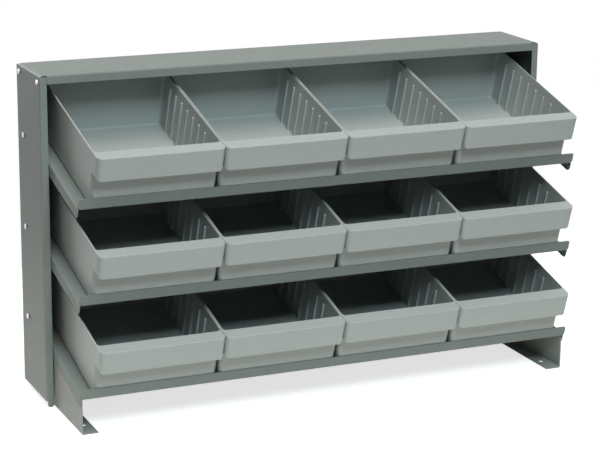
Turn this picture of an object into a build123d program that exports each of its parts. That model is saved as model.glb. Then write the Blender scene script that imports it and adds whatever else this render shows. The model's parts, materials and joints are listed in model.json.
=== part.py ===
from build123d import *
import os
from math import cos, radians, sin, tan

# Bench rack with three sloping shelves and twelve moulded drawers.
# X runs along the rack, -Y is the side that the drawers face, Z is up.
# Two folded steel uprights carry the shelves, the cover and the back panel,
# and two angle feet under the lowest shelf stand on the bench.
# Each drawer rests on its shelf behind an upturned lip, and tips up at the
# front about its rear bottom edge to clear that lip.

os.makedirs("parts", exist_ok=True)

# Rack
rack_width = 914.4
rack_height = 558.8
sheet = 1.2
bend = 1.2
fit_gap = 0.4

# Uprights
upright_depth = 130.0
flange_width = 12.4
web_lift = 11.0
tab_round = 4.5
upright_drop = 2.0

# Shelves
slope = 15.0
lip_distance = 280.0
lowest_lip = 61.0
shelf_pitch = 156.0
shelf_side_gap = 0.8
lip_height = 19.0
lip_round = 3.0
skirt_flange = 19.0
skirt_flange_round = 9.0
web_flange = 17.0
rear_flange = 19.0
rest_length = 22.0
rest_width = 9.0
rest_height = 11.0

# Cover and back panel
cover_lip = 14.0
cover_side = 17.0
cover_bend = 4.6
panel_sheet = 0.9
panel_side_gap = 1.6

# Feet
foot_sheet = 2.0
foot_flange = 28.0
foot_front_setback = 6.0
foot_rear_setback = 8.0
foot_round = 12.0
foot_hole_radius = 4.75
foot_hole_inset = 15.5
front_hole_setback = 40.0
rear_hole_setback = 40.0

# Screws and nuts
screw_radius = 2.5
screw_clearance = 0.25
head_radius = 4.5
head_height = 2.8
head_round = 1.6
recess_length = 4.8
recess_width = 1.2
recess_depth = 1.5
nut_size = 8.0
nut_height = 4.0
nut_clearance = 0.05
thread_end = 1.4
shelf_screw_height = 7.5
shelf_screw_depth = 38.0
cover_screw_drop = 10.5
cover_rear_depth = 20.0
cover_front_setback = 7.5

# Drawers
drawers_per_shelf = 4
drawer_pitch = 213.0
drawer_width = 212.6
drawer_height = 97.0
drawer_floor_length = 260.0
seat_gap = 0.3
wall = 2.4
floor_thickness = 2.5
side_draft = 1.7
front_draft = 1.0
rear_draft = 2.1
corner_round = 8.0
floor_round = 4.0
inner_floor_round = 3.0
rim_round = 1.0
hood_reach = 21.5
hood_height = 40.0
hood_corner_round = 9.5
hood_lower_round = 6.5
rib_count = 7
rib_pitch = 27.2
rib_width = 3.6
rib_depth = 2.8
rib_drop = 14.0
first_rib = 65.0

# Worked-out sizes
tilt = radians(slope)
web_outside = rack_width / 2
web_inside = web_outside - sheet
flange_inside = web_outside - flange_width
shelf_front_width = 2 * (flange_inside - shelf_side_gap)
upright_top = rack_height - upright_drop
outer_bend = bend + sheet
drawer_seat = sheet + seat_gap
rim = drawer_seat + drawer_height
skirt_edge = rim - hood_height
panel_front = sheet + panel_sheet
shelf_end = (lip_distance - panel_front - fit_gap) / cos(tilt)
front_floor = sheet + fit_gap + (lip_height - drawer_seat) * tan(radians(front_draft))

# The hood's rounded top edge is the foremost point, half the depth in front of the origin
hood_lean = radians(side_draft)
hood_edge_out = hood_reach - rim_round * (tan(hood_lean) + 1 / cos(hood_lean))
hood_edge_up = rim - rim_round
rack_depth = lip_distance + hood_edge_out * cos(tilt) + hood_edge_up * sin(tilt) + rim_round
back_y = rack_depth / 2


def shelf_plane(row):
    """Deck frame of a shelf: X across, Y up the slope from the lip's foot, Z square to the deck."""
    foot = (0, back_y - lip_distance, lowest_lip + row * shelf_pitch)
    return Plane(origin=foot, x_dir=(1, 0, 0), z_dir=(0, -sin(tilt), cos(tilt)))


def deck_point(row, along, height):
    """Rack coordinates (Y, Z) of a point given up the slope and square to the deck."""
    point = shelf_plane(row).from_local_coords(Vector(0, along, height))
    return (point.Y, point.Z)


def along_at_depth(distance, height):
    """Distance up the slope of the point that lies this far in front of the rack's back."""
    return (lip_distance + height * sin(tilt) - distance) / cos(tilt)


def folded_sheet(plane, points, inside_radius=bend, thickness=sheet):
    """End view of a folded sheet whose middle line runs through the points."""
    with BuildSketch(plane) as section:
        with BuildLine():
            FilletPolyline(*points, radius=inside_radius + thickness / 2)
        trace(line_width=thickness)
    return section.sketch


def screw_points():
    """Places (Y, Z) of the screws in one side: three shelves, then the cover's rear and front."""
    along = along_at_depth(shelf_screw_depth, shelf_screw_height)
    points = [deck_point(row, along, shelf_screw_height) for row in range(3)]
    cover_z = rack_height - cover_screw_drop
    points.append((back_y - cover_rear_depth, cover_z))
    points.append((back_y - upright_depth + cover_front_setback, cover_z))
    return points


def screw_holes():
    """Outlines of the clearance holes through both sides of the rack."""
    with BuildSketch(Plane.YZ) as holes:
        with Locations(*screw_points()):
            Circle(screw_radius + screw_clearance)
    return holes.sketch


def make_upright(side):
    """Folded channel with a short tab that takes the front flange down to the bench."""
    middle = side * (web_outside - sheet / 2)
    inner = side * flange_inside
    front = back_y - upright_depth
    with BuildPart() as upright:
        section = [
            (inner, front + sheet / 2),
            (middle, front + sheet / 2),
            (middle, back_y - sheet / 2),
            (inner, back_y - sheet / 2),
        ]
        channel = folded_sheet(Plane.XY.offset(web_lift), section)
        extrude(channel, amount=upright_top - web_lift, dir=(0, 0, 1))

        tab_width = flange_width - outer_bend
        with BuildSketch(Plane.XZ.offset(-front)):
            with Locations((side * (flange_inside + tab_width / 2), web_lift / 2)):
                tab = Rectangle(tab_width, web_lift)
            fillet(tab.vertices().group_by(Axis.Y)[0], tab_round)
        extrude(amount=-sheet)

        for row in range(3):
            deck = shelf_plane(row)
            rest_start = along_at_depth(upright_depth, 0) + outer_bend + fit_gap
            rest_middle = rest_start + bend + rest_length / 2
            with BuildSketch(deck):
                with Locations((side * (web_inside - rest_width / 2), rest_middle)):
                    Rectangle(rest_width, rest_length)
            extrude(amount=-sheet)
            with BuildSketch(deck):
                with Locations((side * (web_inside - sheet / 2), rest_middle)):
                    Rectangle(sheet, rest_length)
            extrude(amount=-rest_height)

        extrude(screw_holes(), amount=rack_width, both=True, mode=Mode.SUBTRACT)
    return upright.part


def make_shelf(row):
    """Sloping deck with an upturned lip, turned-down sides in front and turned-up sides behind."""
    deck = shelf_plane(row)
    middle = sheet / 2
    side_view = Plane(origin=deck.origin, x_dir=deck.y_dir, z_dir=(1, 0, 0))
    front_view = Plane(origin=deck.origin, x_dir=(1, 0, 0), z_dir=-deck.y_dir)
    front_half = shelf_front_width / 2
    shoulder = along_at_depth(upright_depth - sheet - fit_gap, 0)
    turned_up_start = along_at_depth(upright_depth - outer_bend - fit_gap, sheet + web_flange)
    with BuildPart() as shelf:
        lip_view = [(middle, lip_height), (middle, middle), (shelf_end - outer_bend, middle)]
        extrude(folded_sheet(side_view, lip_view), amount=front_half - outer_bend, both=True)

        lip_plane = Plane(origin=deck.origin, x_dir=(1, 0, 0), z_dir=deck.y_dir)
        with BuildSketch(lip_plane):
            with Locations((0, -(lip_height + outer_bend) / 2)):
                lip = Rectangle(shelf_front_width, lip_height - outer_bend)
            fillet(lip.vertices(), lip_round)
        extrude(amount=sheet)

        turned_down = [
            (-front_half + middle, sheet - skirt_flange),
            (-front_half + middle, middle),
            (front_half - middle, middle),
            (front_half - middle, sheet - skirt_flange),
        ]
        section = folded_sheet(front_view.offset(-outer_bend), turned_down)
        extrude(section, amount=shoulder - 2 * outer_bend, dir=deck.y_dir)
        corners = shelf.edges().filter_by(Axis.X).filter_by(lambda e: e.length < 1.5 * sheet)
        lower_front = corners.group_by(Axis(deck.origin, deck.z_dir))[0]
        fillet(lower_front.sort_by(Axis.Y)[0:2], skirt_flange_round)

        turned_up = [
            (-web_inside + middle, sheet + web_flange),
            (-web_inside + middle, middle),
            (web_inside - middle, middle),
            (web_inside - middle, sheet + web_flange),
        ]
        section = folded_sheet(front_view.offset(-turned_up_start), turned_up)
        extrude(section, amount=shelf_end - outer_bend - turned_up_start, dir=deck.y_dir)

        with BuildSketch(deck):
            with Locations((0, (shoulder + turned_up_start) / 2)):
                Rectangle(2 * (web_inside - outer_bend), turned_up_start - shoulder)
        extrude(amount=sheet)

        rear = [
            (shelf_end - 3 * outer_bend, middle),
            (shelf_end - middle, middle),
            (shelf_end - middle, rear_flange),
        ]
        extrude(folded_sheet(side_view, rear), amount=web_inside - outer_bend - fit_gap, both=True)

        extrude(screw_holes(), amount=rack_width, both=True, mode=Mode.SUBTRACT)
    return shelf.part


def make_cover():
    """Top sheet turned down on all four sides, its sides inside the webs of the uprights."""
    middle = sheet / 2
    bottom = rack_height - cover_lip
    top = rack_height - middle
    front = back_y - upright_depth + middle
    rear = back_y - panel_front - middle
    with BuildPart() as cover:
        side_view = [(front, bottom), (front, top), (rear, top), (rear, bottom)]
        extrude(folded_sheet(Plane.YZ, side_view), amount=flange_inside - fit_gap, both=True)
        side = web_inside - middle
        side_bottom = rack_height - cover_side
        front_view = [(-side, side_bottom), (-side, top), (side, top), (side, side_bottom)]
        section = folded_sheet(Plane.XZ.offset(outer_bend - rear), front_view, inside_radius=cover_bend)
        extrude(section, amount=rear - front - 2 * outer_bend, dir=(0, -1, 0))
        extrude(screw_holes(), amount=rack_width, both=True, mode=Mode.SUBTRACT)
    return cover.part


def make_back_panel():
    """Flat sheet held between the rear flanges of the uprights and the cover's rear side."""
    with BuildPart() as panel:
        height = upright_top - sheet - web_lift
        with BuildSketch(Plane.XZ.offset(-(back_y - sheet))):
            with Locations((0, web_lift + height / 2)):
                Rectangle(2 * (web_inside - panel_side_gap), height)
        extrude(amount=panel_sheet)
    return panel.part


def make_foot(side):
    """Angle under the lowest shelf, its upright leg cut to the slope of the deck."""
    leg_outside = shelf_front_width / 2 - sheet
    leg_middle = side * (leg_outside - foot_sheet / 2)
    front = back_y - lip_distance + foot_front_setback
    rear = back_y - foot_rear_setback
    leg_gap = bend + fit_gap
    front_top = deck_point(0, along_at_depth(back_y - front, -leg_gap), -leg_gap)
    rear_top = deck_point(0, along_at_depth(back_y - rear, -leg_gap), -leg_gap)
    with BuildPart() as foot:
        section = [
            (leg_middle, rear_top[1]),
            (leg_middle, foot_sheet / 2),
            (side * (leg_outside - foot_flange), foot_sheet / 2),
        ]
        angle = folded_sheet(Plane.XZ.offset(-front), section, thickness=foot_sheet)
        extrude(angle, amount=rear - front, dir=(0, 1, 0))
        with BuildSketch(Plane.YZ):
            with BuildLine():
                Polyline((front, 0), (rear, 0), rear_top, front_top, close=True)
            outline = make_face()
            fillet(outline.vertices().group_by(Axis.X)[0].sort_by(Axis.Y)[-1], foot_round)
        extrude(amount=rack_width, both=True, mode=Mode.INTERSECT)
        with BuildSketch(Plane.XY):
            hole_x = side * (leg_outside - foot_hole_inset)
            with Locations((hole_x, front + front_hole_setback), (hole_x, rear - rear_hole_setback)):
                Circle(foot_hole_radius)
        extrude(amount=foot_sheet, mode=Mode.SUBTRACT)
    return foot.part


def make_screws(side):
    """Pan-head screws of one side, heads outside the web."""
    with BuildPart() as screws:
        with BuildSketch(Plane.YZ.offset(side * web_outside)):
            with Locations(*screw_points()):
                Circle(head_radius)
        extrude(amount=side * head_height)
        outer = screws.faces().filter_by(Axis.X).group_by(Axis.X)[(side - 1) // 2]
        fillet(outer.edges(), head_round)
        with BuildSketch(Plane.YZ.offset(side * (web_outside + head_height))):
            with Locations(*screw_points()):
                Rectangle(recess_length, recess_width)
                Rectangle(recess_width, recess_length)
        extrude(amount=-side * recess_depth, mode=Mode.SUBTRACT)
        with BuildSketch(Plane.YZ.offset(side * web_outside)):
            with Locations(*screw_points()):
                Circle(screw_radius)
        extrude(amount=-side * (2 * sheet + nut_height + thread_end))
    return screws.part


def make_nuts(side):
    """Hexagon nuts of one side, against the inside of the shelf and cover flanges."""
    with BuildPart() as nuts:
        with BuildSketch(Plane.YZ.offset(side * (web_inside - sheet))):
            with Locations(*screw_points()):
                RegularPolygon(radius=nut_size / 2, side_count=6, major_radius=False, rotation=30)
                Circle(screw_radius + nut_clearance, mode=Mode.SUBTRACT)
        extrude(amount=-side * nut_height)
    return nuts.part


def half_width(height):
    """Half of the drawer's outside width at a height above the shelf's underside."""
    return drawer_width / 2 - (rim - height) * tan(radians(side_draft))


def front_face(height):
    """Place of the drawer's front wall, positive in front of the shelf's lip."""
    return (height - drawer_seat) * tan(radians(front_draft)) - front_floor


def rear_face(height):
    """Place of the drawer's rear wall, negative behind the shelf's lip."""
    return -front_floor - drawer_floor_length - (height - drawer_seat) * tan(radians(rear_draft))


def drafted_block(low, high, inset):
    """Block between two heights whose four sides lie inside the drawer's faces by the inset."""
    left = inset - half_width(low)
    back = rear_face(low) + inset
    with Locations((left, low, back)):
        Wedge(
            xsize=-2 * left,
            ysize=high - low,
            zsize=front_face(low) - inset - back,
            xmin=inset - half_width(high) - left,
            zmin=rear_face(high) + inset - back,
            xmax=half_width(high) - inset - left,
            zmax=front_face(high) - inset - back,
            align=None,
        )


def round_block(block, corner, underside):
    """Round a block's four corners and the edge round its underside."""
    fillet(block.edges().filter_by(lambda e: abs(e.tangent_at(0.5).Z) > 0.9), corner)
    fillet(block.faces().sort_by(Axis.Z)[0].edges(), underside)


# The drawer is drawn level: the lip's foot is its origin, Y runs to its rear and Z up its walls
with BuildPart(Plane.XZ) as tray:
    drafted_block(drawer_seat, rim, 0)
    round_block(tray, corner_round, floor_round)

with BuildPart(Plane.XZ) as hollow:
    drafted_block(drawer_seat + floor_thickness, rim + wall, wall)
    round_block(hollow, corner_round - wall, inner_floor_round)

hood_back = front_face(skirt_edge) - corner_round
hood_front = hood_reach - hood_height * tan(hood_lean)

with BuildPart() as hood:
    low_half = half_width(skirt_edge)
    with BuildSketch(Plane.XY.offset(skirt_edge)):
        with Locations((0, -(hood_back + hood_front) / 2)):
            plan = Rectangle(2 * low_half, hood_front - hood_back)
        fillet(plan.vertices().group_by(Axis.Y)[0], hood_corner_round)
    extrude(amount=hood_height, taper=-side_draft)
    with BuildSketch(Plane.XZ.offset(hood_back)):
        with BuildLine():
            Polyline(
                (-low_half, skirt_edge),
                (low_half, skirt_edge),
                (half_width(rim), rim),
                (-half_width(rim), rim),
                close=True,
            )
        view = make_face()
        fillet(view.vertices().group_by(Axis.Y)[0], hood_lower_round)
    extrude(amount=hood_reach - hood_back, mode=Mode.INTERSECT)

with BuildPart(Plane.XZ) as hood_hollow:
    low = skirt_edge - wall
    high = rim - wall
    left = wall - half_width(low)
    back = front_face(low)
    with Locations((left, low, back)):
        Wedge(
            xsize=-2 * left,
            ysize=high - low,
            zsize=hood_reach - (rim - low) * tan(hood_lean) - wall - back,
            xmin=wall - half_width(high) - left,
            zmin=front_face(high) - back,
            xmax=half_width(high) - wall - left,
            zmax=hood_reach - wall * tan(hood_lean) - wall - back,
            align=None,
        )
    uprights = hood_hollow.edges().filter_by(lambda e: abs(e.tangent_at(0.5).Z) > 0.9)
    fillet(uprights.group_by(Axis.Y)[0], hood_corner_round - wall)

with BuildPart() as moulding:
    add(tray.part)
    add(hood.part)
    fillet(moulding.faces().sort_by(Axis.Z)[-1].edges(), rim_round)
    add(hollow.part, mode=Mode.SUBTRACT)
    add(hood_hollow.part, mode=Mode.SUBTRACT)
    rib_low = drawer_seat + floor_thickness / 2
    rib_length = rim - rib_drop - rib_low
    for side in (-1, 1):
        wall_foot = (side * (half_width(rib_low) - wall), 0, rib_low)
        lean = radians(side_draft)
        inward = (-side * cos(lean), 0, sin(lean))
        inside = Plane(origin=wall_foot, x_dir=(0, 1, 0), z_dir=inward)
        up = 1 if inside.y_dir.Z > 0 else -1
        with BuildSketch(inside.offset(-wall / 2)):
            for index in range(rib_count):
                place = first_rib + index * rib_pitch
                with Locations((place, up * rib_length / 2)):
                    SlotOverall(rib_length, rib_width, rotation=90)
        extrude(amount=wall / 2 + rib_depth)


def make_drawer(row, column):
    """One drawer at its place on a shelf."""
    across = (column - (drawers_per_shelf - 1) / 2) * drawer_pitch
    with BuildPart(shelf_plane(row)) as drawer:
        with Locations((across, 0, 0)):
            add(moulding.part)
    return drawer.part


pieces = {
    "left_upright": make_upright(-1),
    "right_upright": make_upright(1),
    "back_panel": make_back_panel(),
    "top_cover": make_cover(),
    "left_foot": make_foot(-1),
    "right_foot": make_foot(1),
    "left_screws": make_screws(-1),
    "right_screws": make_screws(1),
    "left_nuts": make_nuts(-1),
    "right_nuts": make_nuts(1),
}

for row, level in enumerate(("bottom", "middle", "top")):
    pieces[level + "_shelf"] = make_shelf(row)
    for column in range(drawers_per_shelf):
        pieces[f"{level}_drawer_{column + 1}"] = make_drawer(row, column)

for name, piece in pieces.items():
    piece.label = name
    export_step(piece, f"parts/{name}.step")
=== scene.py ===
import json
from math import cos, radians, sin

import bpy
from bpy.props import FloatProperty, FloatVectorProperty, PointerProperty
from mathutils import Matrix, Vector


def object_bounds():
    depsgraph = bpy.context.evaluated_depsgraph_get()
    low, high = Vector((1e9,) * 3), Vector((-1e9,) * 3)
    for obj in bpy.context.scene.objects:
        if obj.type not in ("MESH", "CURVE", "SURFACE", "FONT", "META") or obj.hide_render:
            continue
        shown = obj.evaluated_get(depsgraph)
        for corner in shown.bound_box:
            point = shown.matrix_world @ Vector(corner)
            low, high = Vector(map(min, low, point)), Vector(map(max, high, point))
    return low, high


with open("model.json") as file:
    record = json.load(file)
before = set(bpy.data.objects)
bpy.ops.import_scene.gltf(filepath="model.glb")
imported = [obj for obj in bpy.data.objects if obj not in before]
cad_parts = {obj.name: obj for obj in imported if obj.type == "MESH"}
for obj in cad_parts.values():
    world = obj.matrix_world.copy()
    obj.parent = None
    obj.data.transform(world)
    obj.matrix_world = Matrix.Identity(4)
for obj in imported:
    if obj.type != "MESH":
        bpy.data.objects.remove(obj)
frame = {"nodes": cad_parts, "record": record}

bl_info = {
    "name": "Bench Rack Dresser",
    "version": (1, 0, 0),
    "blender": (4, 5, 0),
    "location": "3D View > Sidebar > Bench Rack",
    "description": "Finishes the steelwork, drawers and fasteners of a bench rack and sets its stage",
    "category": "Object",
}

CAD_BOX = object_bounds()
SLOT_OF = {part["node"]: part["material_slot"] for part in frame["record"]["subparts"]}
FEET = ("left_foot", "right_foot")

# Relief of the finishes, in metres
PEEL_HEIGHT = 0.00006
GRAIN_HEIGHT = 0.00003

# Mirror-like share of each finish, as a specular level
ENAMEL_SHINE = 0.18
PLASTIC_SHINE = 0.45

# Stretch of a pattern: below 1 draws it out along that axis
ROLLED = (0.04, 1.0, 1.0)
FLOWED = (1.0, 1.0, 3.0)

# Edges of the CAD objects that turn by more than this angle are broken, in this many steps
EDGE_ANGLE = radians(40)
EDGE_STEPS = 2

BLACK = (0.0, 0.0, 0.0, 1.0)
WHITE = (1.0, 1.0, 1.0, 1.0)
FLOOR_COLOUR = (0.92, 0.9, 0.85, 1.0)
FLOOR_ROUGHNESS = 0.9
SENSOR_WIDTH = 36

# Each lamp's name, its power and colour on the stage's list, its side and place in metres
LAMPS = (
    ("key_lamp", "key_light", "key_colour", 3.0, (-0.5, -2.3, 4.7)),
    ("front_lamp", "front_light", "front_colour", 0.9, (-0.45, -3.1, 2.78)),
    ("left_lamp", "left_light", "side_colour", 1.2, (-2.1, -0.5, 2.1)),
    ("right_lamp", "right_light", "side_colour", 2.0, (3.3, 0.9, 1.3)),
    ("back_lamp", "back_light", "side_colour", 2.0, (-1.4, 3.2, 1.5)),
)


def nodes_with(slot):
    """CAD objects that take their finish from a material slot."""
    return [frame["nodes"][name] for name in sorted(frame["nodes"]) if SLOT_OF[name] == slot]


# Shader sums

class Value:
    """A node's output that takes part in Python sums; each sum adds a Math node."""

    def __init__(self, recipe, socket):
        self.recipe = recipe
        self.socket = socket

    def maths(self, operation, first, second):
        """Math node on two values or numbers."""
        return self.recipe.node("Math", {"operation": operation}, {0: first, 1: second})

    def __add__(self, other):
        return self.maths("ADD", self, other)

    def __radd__(self, other):
        return self.maths("ADD", other, self)

    def __mul__(self, other):
        return self.maths("MULTIPLY", self, other)

    def __rmul__(self, other):
        return self.maths("MULTIPLY", other, self)


class Recipe:
    """The nodes of one material, or of the world, made from its shader outwards."""

    def __init__(self, owner, shader="Principled BSDF"):
        if isinstance(owner, str):
            owner = bpy.data.materials.new(owner)
            owner.use_nodes = True
        self.owner = owner
        self.tree = owner.node_tree
        self.shader = self.tree.nodes[shader]

    def node(self, kind, settings=None, inputs=None, output=0):
        """Add a node of a type with its settings, then the values or links of its sockets."""
        made = self.tree.nodes.new("ShaderNode" + kind)
        for name, value in (settings or {}).items():
            setattr(made, name, value)
        self.feed(made, inputs or {})
        return Value(self, made.outputs[output])

    def feed(self, target, inputs):
        """Give a node's sockets their values or links."""
        for key, value in inputs.items():
            if isinstance(value, Value):
                self.tree.links.new(value.socket, target.inputs[key])
            else:
                target.inputs[key].default_value = value

    def place(self):
        """Position on the object in metres, the same at every pose."""
        return self.node("TexCoord", output="Object")

    def noise(self, per_metre, detail=2.0, stretch=(1.0, 1.0, 1.0)):
        """Soft random pattern with a number of features to the metre."""
        spot = self.node(
            "Mapping", {"vector_type": "POINT"}, {"Vector": self.place(), "Scale": stretch})
        return self.node("TexNoise", inputs={"Vector": spot, "Scale": per_metre, "Detail": detail})

    def mix(self, factor, first, second):
        """Blend of two colours."""
        return self.node(
            "Mix", {"data_type": "RGBA"}, {"Factor": factor, 6: first, 7: second}, output=2)

    def seen(self):
        """1 for rays from the camera, glossy surfaces and glass, 0 for light on things."""
        camera = self.node("LightPath", output="Is Camera Ray")
        rays = camera.socket.node.outputs
        glossy = Value(self, rays["Is Glossy Ray"])
        through = Value(self, rays["Is Transmission Ray"])
        return camera.maths("MAXIMUM", camera.maths("MAXIMUM", camera, glossy), through)

    def spread(self, pattern, low, high):
        """A 0 to 1 pattern spread between two levels."""
        return pattern * (high - low) + low

    def bump(self, pattern, height):
        """Relief of a pattern on the surface, its height in metres."""
        return self.node("Bump", inputs={"Distance": height, "Height": pattern}, output="Normal")


def shades(colour, amount):
    """A darker and a lighter shade of a colour, each off by an amount of it."""
    darker = tuple(channel * (1 - amount) for channel in colour) + (1.0,)
    lighter = tuple(channel * (1 + amount) for channel in colour) + (1.0,)
    return darker, lighter


# Finishes

def enamel(name, colour, gloss):
    """Satin enamel on sheet steel: orange peel, cloudy coats and faint marks of rolling."""
    recipe = Recipe(name)
    cloud = recipe.noise(per_metre=6.0, detail=3.0)
    rolled = recipe.noise(per_metre=90.0, detail=3.0, stretch=ROLLED)
    speckle = recipe.noise(per_metre=1500.0, detail=1.0)
    peel = recipe.noise(per_metre=520.0)
    worn = recipe.noise(per_metre=35.0, detail=4.0)
    darker, lighter = shades(colour, amount=0.06)
    recipe.feed(recipe.shader, {
        "Base Color": recipe.mix(cloud * 0.5 + rolled * 0.25 + speckle * 0.25, darker, lighter),
        "Roughness": recipe.spread(worn, gloss - 0.07, gloss + 0.07),
        "Normal": recipe.bump(peel + rolled * 0.4, PEEL_HEIGHT),
        "Specular IOR Level": ENAMEL_SHINE,
    })
    return recipe.owner


def moulded(colour, gloss):
    """Grey moulded plastic with a fine eroded grain and slight flow marks."""
    recipe = Recipe("grey_moulding")
    flow = recipe.noise(per_metre=9.0, detail=3.0, stretch=FLOWED)
    grain = recipe.noise(per_metre=1400.0)
    darker, lighter = shades(colour, amount=0.04)
    recipe.feed(recipe.shader, {
        "Base Color": recipe.mix(flow * 0.75 + grain * 0.25, darker, lighter),
        "Roughness": recipe.spread(flow, gloss - 0.05, gloss + 0.05),
        "Normal": recipe.bump(grain, GRAIN_HEIGHT),
        "Specular IOR Level": PLASTIC_SHINE,
    })
    return recipe.owner


def zinc_plate(colour, gloss):
    """Bright zinc plate, slightly clouded."""
    recipe = Recipe("bright_zinc")
    cloud = recipe.noise(per_metre=300.0)
    darker, lighter = shades(colour, amount=0.08)
    recipe.feed(recipe.shader, {
        "Base Color": recipe.mix(cloud, darker, lighter),
        "Roughness": recipe.spread(cloud, gloss - 0.05, gloss + 0.08),
        "Metallic": 1.0,
    })
    return recipe.owner


def dress(objects, material, edge):
    """Give CAD objects a material and break their sharp edges."""
    for thing in objects:
        thing.data.materials.clear()
        thing.data.materials.append(material)
        bevel = thing.modifiers.new("broken_edges", "BEVEL")
        bevel.width = edge
        bevel.segments = EDGE_STEPS
        bevel.limit_method = "ANGLE"
        bevel.angle_limit = EDGE_ANGLE
        bevel.harden_normals = True


# Sizes and colours

class RackFinish(bpy.types.PropertyGroup):
    """Colours, roughness and edges of the rack's pieces"""
    steel_colour: FloatVectorProperty(
        name="Steel colour", description="Enamel on the folded steel", subtype="COLOR",
        default=(0.236, 0.262, 0.244), min=0, max=1)
    # Steel enamel made paler on the feet: painted light that stands in for the bounce from the bright
    # floor around them, not a different paint
    foot_painted_light_colour: FloatVectorProperty(
        name="Foot colour", description="Slightly paler enamel on the feet", subtype="COLOR",
        default=(0.33, 0.35, 0.325), min=0, max=1)
    steel_gloss: FloatProperty(
        name="Steel roughness", description="Roughness of the enamel", subtype="FACTOR",
        default=0.52, min=0, max=1)
    drawer_colour: FloatVectorProperty(
        name="Drawer colour", description="Moulded plastic of the drawers", subtype="COLOR",
        default=(0.435, 0.468, 0.452), min=0, max=1)
    drawer_gloss: FloatProperty(
        name="Drawer roughness", description="Roughness of the plastic", subtype="FACTOR",
        default=0.46, min=0, max=1)
    zinc_colour: FloatVectorProperty(
        name="Zinc colour", description="Plating of the screws and nuts", subtype="COLOR",
        default=(0.8, 0.81, 0.8), min=0, max=1)
    zinc_gloss: FloatProperty(
        name="Zinc roughness", description="Roughness of the plating", subtype="FACTOR",
        default=0.28, min=0, max=1)
    steel_edge: FloatProperty(
        name="Steel edge", description="Width of the broken edge on steel", unit="LENGTH",
        default=0.0002, min=0)
    drawer_edge: FloatProperty(
        name="Drawer edge", description="Width of the broken edge on mouldings", unit="LENGTH",
        default=0.0004, min=0)


class RackStage(bpy.types.PropertyGroup):
    """Camera, lights and floor of the stage"""
    camera_place: FloatVectorProperty(
        name="Camera place", description="Where the camera stands", subtype="XYZ", unit="LENGTH",
        default=(-1.3645, -3.0328, 1.1620))
    camera_turn: FloatProperty(
        name="Camera turn", description="Turn to the right from looking straight back",
        unit="ROTATION", default=0.41865)
    camera_tilt: FloatProperty(
        name="Camera tilt", description="Tilt above the horizon", unit="ROTATION",
        default=-0.26293)
    camera_roll: FloatProperty(
        name="Camera roll", description="Roll about the line of sight", unit="ROTATION",
        default=0.01029)
    camera_lens: FloatProperty(
        name="Camera lens", description="Focal length in millimetres", unit="CAMERA",
        default=121.46)
    world_light: FloatProperty(
        name="World light", description="Strength of the even light from all round",
        default=0.004, min=0)
    key_light: FloatProperty(
        name="Key light", description="Power of the large lamp high in front", unit="POWER",
        default=148, min=0)
    key_colour: FloatVectorProperty(
        name="Key colour", description="Colour of the key light", subtype="COLOR",
        default=(1.0, 0.93, 0.87))
    front_light: FloatProperty(
        name="Front light", description="Power of the lamp above the camera", unit="POWER",
        default=66, min=0)
    front_colour: FloatVectorProperty(
        name="Front colour", description="Colour of the front light", subtype="COLOR",
        default=(0.82, 1.0, 1.08))
    side_colour: FloatVectorProperty(
        name="Side colour", description="Colour of the lamps at the sides and behind",
        subtype="COLOR", default=(0.96, 1.0, 0.97))
    left_light: FloatProperty(
        name="Left light", description="Power of the lamp at the left", unit="POWER",
        default=4, min=0)
    right_light: FloatProperty(
        name="Right light", description="Power of the lamp at the right", unit="POWER",
        default=18, min=0)
    back_light: FloatProperty(
        name="Back light", description="Power of the lamp behind the rack", unit="POWER",
        default=66, min=0)
    floor_size: FloatProperty(
        name="Floor size", description="Side of the floor", unit="LENGTH", default=1.7, min=0)
    floor_white: FloatProperty(
        name="Floor white",
        description="Light that only the camera, metal and glass see added to the floor",
        default=0.7, min=0)


# Operators

class RACK_OT_steelwork(bpy.types.Operator):
    """Enamel the uprights, cover, back panel, shelves and feet"""
    bl_idname = "rack.steelwork"
    bl_label = "Finish steelwork"

    def execute(self, context):
        finish = context.scene.rack_finish
        feet = [frame["nodes"][name] for name in FEET]
        folded = [thing for thing in nodes_with("rack_steel") if thing not in feet]
        # The feet get a paler copy of the steel enamel, painted light for the floor's bounce on them
        for name, objects, colour in (
                ("grey_enamel", folded, finish.steel_colour),
                ("pale_enamel", feet, finish.foot_painted_light_colour)):
            dress(objects, enamel(name, colour, finish.steel_gloss), finish.steel_edge)
        return {"FINISHED"}


class RACK_OT_drawers(bpy.types.Operator):
    """Give the drawers their moulded plastic"""
    bl_idname = "rack.drawers"
    bl_label = "Finish drawers"

    def execute(self, context):
        finish = context.scene.rack_finish
        plastic = moulded(finish.drawer_colour, finish.drawer_gloss)
        dress(nodes_with("drawer_plastic"), plastic, finish.drawer_edge)
        return {"FINISHED"}


class RACK_OT_fasteners(bpy.types.Operator):
    """Plate the screws and nuts"""
    bl_idname = "rack.fasteners"
    bl_label = "Finish fasteners"

    def execute(self, context):
        finish = context.scene.rack_finish
        plating = zinc_plate(finish.zinc_colour, finish.zinc_gloss)
        dress(nodes_with("zinc"), plating, finish.steel_edge)
        return {"FINISHED"}


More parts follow.
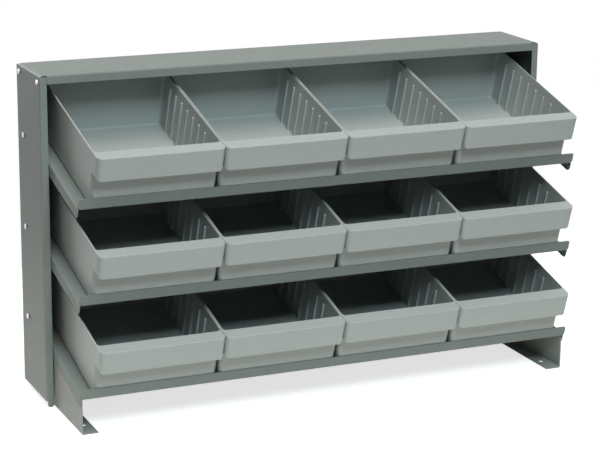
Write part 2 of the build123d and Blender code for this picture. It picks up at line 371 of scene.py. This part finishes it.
class RACK_OT_stage(bpy.types.Operator):
    """Set the floor, the lights, the world and the camera"""
    bl_idname = "rack.stage"
    bl_label = "Set the stage"

    def execute(self, context):
        stage = context.scene.rack_stage
        self.floor(context, stage)
        self.world(context, stage.world_light)
        for name, power, colour, side, place in LAMPS:
            self.lamp(
                context, name, getattr(stage, power), getattr(stage, colour), side, Vector(place))
        self.camera(context, stage)
        context.scene.view_settings.view_transform = "Standard"
        return {"FINISHED"}

    def floor(self, context, stage):
        """Pale floor that shows white and keeps the object's shadow."""
        mesh = bpy.data.meshes.new("floor")
        half = stage.floor_size / 2
        corners = [(-half, -half, 0), (half, -half, 0), (half, half, 0), (-half, half, 0)]
        mesh.from_pydata(corners, [], [(0, 1, 2, 3)])
        floor = bpy.data.objects.new("floor", mesh)
        context.scene.collection.objects.link(floor)
        recipe = Recipe("pale_floor")
        recipe.feed(recipe.shader, {
            "Base Color": FLOOR_COLOUR,
            "Roughness": FLOOR_ROUGHNESS,
            "Emission Color": recipe.mix(recipe.seen(), BLACK, WHITE),
            "Emission Strength": stage.floor_white,
        })
        mesh.materials.append(recipe.owner)

    def world(self, context, strength):
        """Even light, white where the camera, metal or glass sees it."""
        world = bpy.data.worlds.new("studio")
        world.use_nodes = True
        context.scene.world = world
        recipe = Recipe(world, "Background")
        recipe.feed(recipe.shader, {
            "Color": WHITE,
            "Strength": recipe.spread(recipe.seen(), strength, 1.0),
        })

    def lamp(self, context, name, power, colour, side, place):
        """Large square lamp aimed at the middle of the rack."""
        data = bpy.data.lights.new(name, "AREA")
        data.energy = power
        data.color = colour
        data.size = side
        lamp = bpy.data.objects.new(name, data)
        lamp.location = place
        middle = (CAD_BOX[0] + CAD_BOX[1]) / 2
        lamp.rotation_mode = "QUATERNION"
        lamp.rotation_quaternion = (middle - place).to_track_quat("-Z", "Y")
        context.scene.collection.objects.link(lamp)

    def camera(self, context, stage):
        """Camera at the photograph's viewing angle."""
        turn, tilt, roll = stage.camera_turn, stage.camera_tilt, stage.camera_roll
        ahead = Vector((sin(turn) * cos(tilt), cos(turn) * cos(tilt), sin(tilt)))
        right = Vector((cos(turn), -sin(turn), 0.0))
        up = right.cross(ahead)
        rolled_right = right * cos(roll) + up * sin(roll)
        rolled_up = up * cos(roll) - right * sin(roll)
        turned = Matrix((rolled_right, rolled_up, -ahead)).transposed()
        data = bpy.data.cameras.new("camera")
        data.sensor_width = SENSOR_WIDTH
        data.lens = stage.camera_lens
        camera = bpy.data.objects.new("camera", data)
        camera.matrix_world = Matrix.Translation(stage.camera_place) @ turned.to_4x4()
        context.scene.collection.objects.link(camera)
        context.scene.camera = camera


class RACK_PT_panel(bpy.types.Panel):
    """Lists the steps that finish the rack"""
    bl_idname = "RACK_PT_panel"
    bl_label = "Bench Rack"
    bl_space_type = "VIEW_3D"
    bl_region_type = "UI"
    bl_category = "Bench Rack"

    def draw(self, context):
        for step in STEPS:
            self.layout.operator(step.bl_idname)


STEPS = (RACK_OT_steelwork, RACK_OT_drawers, RACK_OT_fasteners, RACK_OT_stage)
CLASSES = (RackFinish, RackStage, *STEPS, RACK_PT_panel)


def register():
    for entry in CLASSES:
        bpy.utils.register_class(entry)
    bpy.types.Scene.rack_finish = PointerProperty(type=RackFinish)
    bpy.types.Scene.rack_stage = PointerProperty(type=RackStage)


def unregister():
    del bpy.types.Scene.rack_stage
    del bpy.types.Scene.rack_finish
    for entry in reversed(CLASSES):
        bpy.utils.unregister_class(entry)


def main():
    register()
    bpy.ops.rack.steelwork()
    bpy.ops.rack.drawers()
    bpy.ops.rack.fasteners()
    bpy.ops.rack.stage()


if __name__ == "__main__":
    main()
